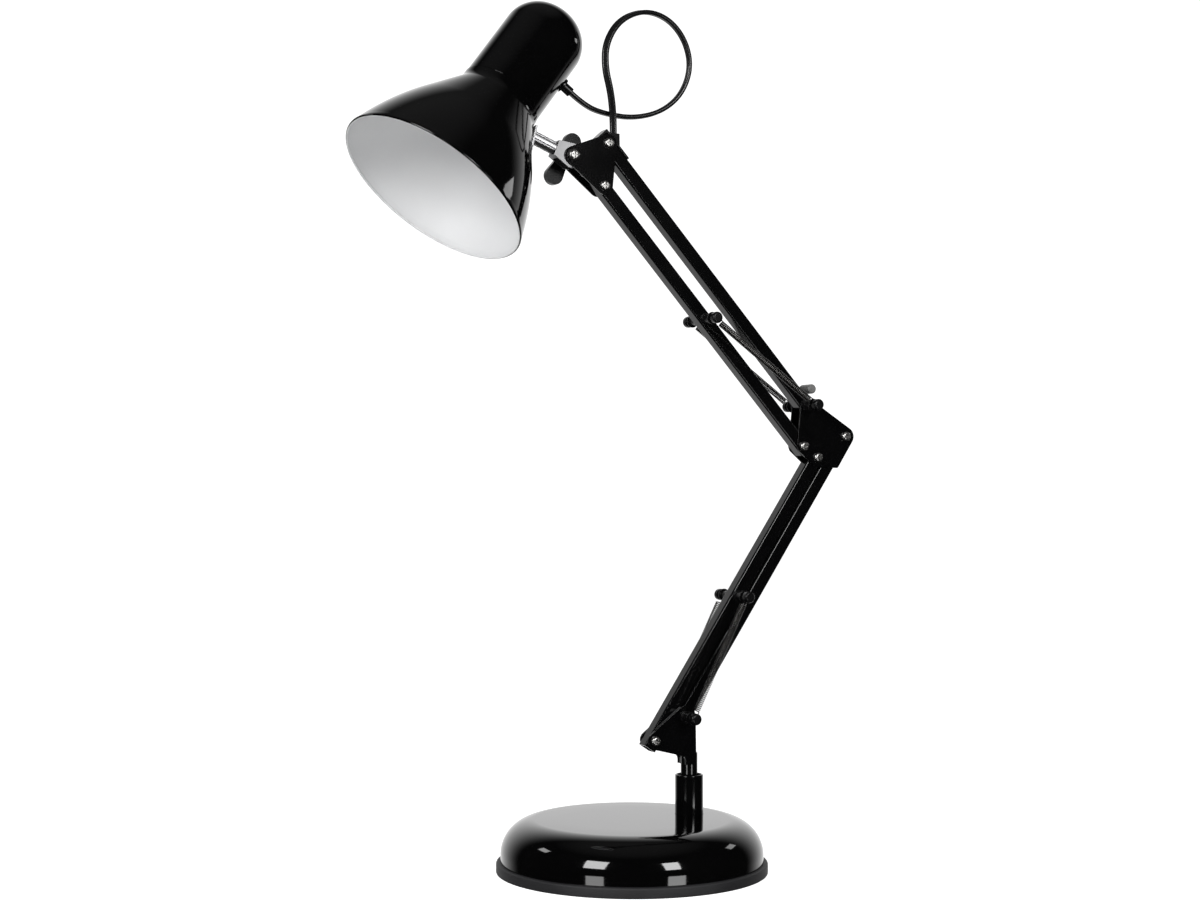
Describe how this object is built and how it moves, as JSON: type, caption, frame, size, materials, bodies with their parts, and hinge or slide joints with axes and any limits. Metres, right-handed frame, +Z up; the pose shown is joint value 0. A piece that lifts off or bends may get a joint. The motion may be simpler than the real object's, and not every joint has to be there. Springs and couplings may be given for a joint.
{
  "type": "desk lamp",
  "caption": "Spring-balanced desk lamp: two parallelogram arms of square tube on a weighted round base, with a swivelling bell shade and a domed lamp housing.",
  "frame": {"origin": "middle of the base's underside, on the table", "axes": "+Z up; the arms lie in the XZ plane, with the post on the +X side of the base and the head reaching towards -X; the picture looks from -Y"},
  "size_m": [0.388, 0.19, 0.607],
  "materials": {
    "gloss_black_enamel": "gloss black stove enamel, smooth",
    "satin_black_paint": "satin black powder coat",
    "rim_rubber": "matt black soft rubber",
    "weight_iron": "rough cast",
    "plate_zinc": "zinc-plated sheet",
    "pad_felt": "pressed felt",
    "screw_nickel": "nickel-plated",
    "bush_nylon": "natural nylon",
    "black_nylon": "moulded black nylon",
    "spring_steel": "dark drawn spring wire",
    "stop_grey": "pale grey moulded sleeve",
    "knuckle_chrome": "bright plated",
    "thread_aluminium": "rolled thread shell",
    "contact_brass": "stamped contact",
    "cord_vinyl": "black flexible vinyl sheath"
  },
  "bodies": {
    "base": {"rim_ring": "rim_rubber", "base_cover": "gloss_black_enamel", "base_weight": "weight_iron", "bottom_plate": "plate_zinc", "felt_pad": "pad_felt", "bottom_screws": "screw_nickel", "post_socket": "satin_black_paint", "post_nut": "plate_zinc", "post_bush": "bush_nylon"},
    "swivel_bracket": {"lower_bracket": "satin_black_paint", "lower_pivot_screw": "screw_nickel", "lower_pivot_nut": "screw_nickel", "lower_anchor_stud": "screw_nickel", "lower_anchor_spools": "black_nylon", "lower_anchor_caps": "black_nylon"},
    "lower_arm": {"lower_main_tube": "satin_black_paint", "lower_mid_stud": "screw_nickel", "lower_mid_spools": "black_nylon", "lower_mid_caps": "black_nylon", "lower_spring_near": "spring_steel", "lower_spring_far": "spring_steel"},
    "lower_link": {"lower_link_tube": "satin_black_paint"},
    "elbow": {"elbow_near_cheek": "satin_black_paint", "elbow_far_cheek": "satin_black_paint", "elbow_screws": "screw_nickel", "elbow_nuts": "screw_nickel", "elbow_anchor_stud": "screw_nickel", "elbow_anchor_spools": "black_nylon", "elbow_anchor_caps": "black_nylon", "elbow_stop": "stop_grey"},
    "upper_arm": {"upper_main_tube": "satin_black_paint", "upper_mid_stud": "screw_nickel", "upper_mid_spools": "black_nylon", "upper_mid_caps": "black_nylon", "upper_spring_near": "spring_steel", "upper_spring_far": "spring_steel"},
    "upper_link": {"upper_link_tube": "satin_black_paint", "tube_end_cap": "black_nylon"},
    "head_bracket": {"head_near_cheek": "satin_black_paint", "head_far_cheek": "satin_black_paint", "head_bracket_screws": "screw_nickel", "head_bracket_nuts": "screw_nickel", "head_tilt_screw": "screw_nickel", "clamp_washer": "screw_nickel"},
    "wing_nut": {"wing_nut": "black_nylon"},
    "knuckle": {"knuckle_clamp": "knuckle_chrome"},
    "head": {"stem": "knuckle_chrome", "stem_nut": "knuckle_chrome", "neck_plate": "knuckle_chrome", "shade": "gloss_black_enamel", "housing": "gloss_black_enamel", "holder_shell": "black_nylon", "holder_thread": "thread_aluminium", "holder_contact": "contact_brass", "shade_ring": "black_nylon", "cord_gland": "black_nylon", "cord_loop": "cord_vinyl"}
  },
  "joints": [
    {"name": "base_swivel", "type": "hinge", "parent": "base", "child": "swivel_bracket", "pos_m": [0.0455, 0, 0.06], "axis": [0, 0, 1], "continuous": true},
    {"name": "lower_arm_tilt", "type": "hinge", "parent": "swivel_bracket", "child": "lower_arm", "pos_m": [0.0155, 0, 0.09], "axis": [0, 1, 0], "range_deg": [-80, 1.5], "deforming": ["lower_spring_near", "lower_spring_far"]},
    {"name": "lower_link_turn", "type": "hinge", "parent": "swivel_bracket", "child": "lower_link", "pos_m": [0.0395, 0, 0.1057], "axis": [0, 1, 0], "range_deg": [-80, 1.5]},
    {"name": "elbow_turn", "type": "hinge", "parent": "lower_arm", "child": "elbow", "pos_m": [0.14957, 0, 0.29027], "axis": [0, 1, 0], "range_deg": [-1.5, 80]},
    {"name": "upper_arm_tilt", "type": "hinge", "parent": "elbow", "child": "upper_arm", "pos_m": [0.13757, 0, 0.29837], "axis": [0, 1, 0], "range_deg": [-75, 15], "deforming": ["upper_spring_near", "upper_spring_far", "cord_loop"]},
    {"name": "upper_link_turn", "type": "hinge", "parent": "elbow", "child": "upper_link", "pos_m": [0.14057, 0, 0.32837], "axis": [0, 1, 0], "range_deg": [-75, 15]},
    {"name": "head_bracket_turn", "type": "hinge", "parent": "upper_arm", "child": "head_bracket", "pos_m": [-0.02405, 0, 0.47849], "axis": [0, 1, 0], "range_deg": [-15, 75]},
    {"name": "head_tilt", "type": "hinge", "parent": "head_bracket", "child": "knuckle", "pos_m": [-0.04805, 0, 0.49809], "axis": [0, 1, 0], "range_deg": [-45, 40], "deforming": ["cord_loop"]},
    {"name": "head_swivel", "type": "hinge", "parent": "knuckle", "child": "head", "pos_m": [-0.04805, 0, 0.49809], "axis": [-0.9272, 0, 0.3746], "range_deg": [-80, 80], "deforming": ["cord_loop"]},
    {"name": "wing_nut_turn", "type": "hinge", "parent": "head_bracket", "child": "wing_nut", "pos_m": [-0.04805, 0, 0.49809], "axis": [0, 1, 0], "continuous": true}
  ],
  "couplings": [
    {"joint": "lower_link_turn", "follows": "lower_arm_tilt", "ratio": 1},
    {"joint": "elbow_turn", "follows": "lower_arm_tilt", "ratio": -1},
    {"joint": "upper_link_turn", "follows": "upper_arm_tilt", "ratio": 1},
    {"joint": "head_bracket_turn", "follows": "upper_arm_tilt", "ratio": -1}
  ]
}
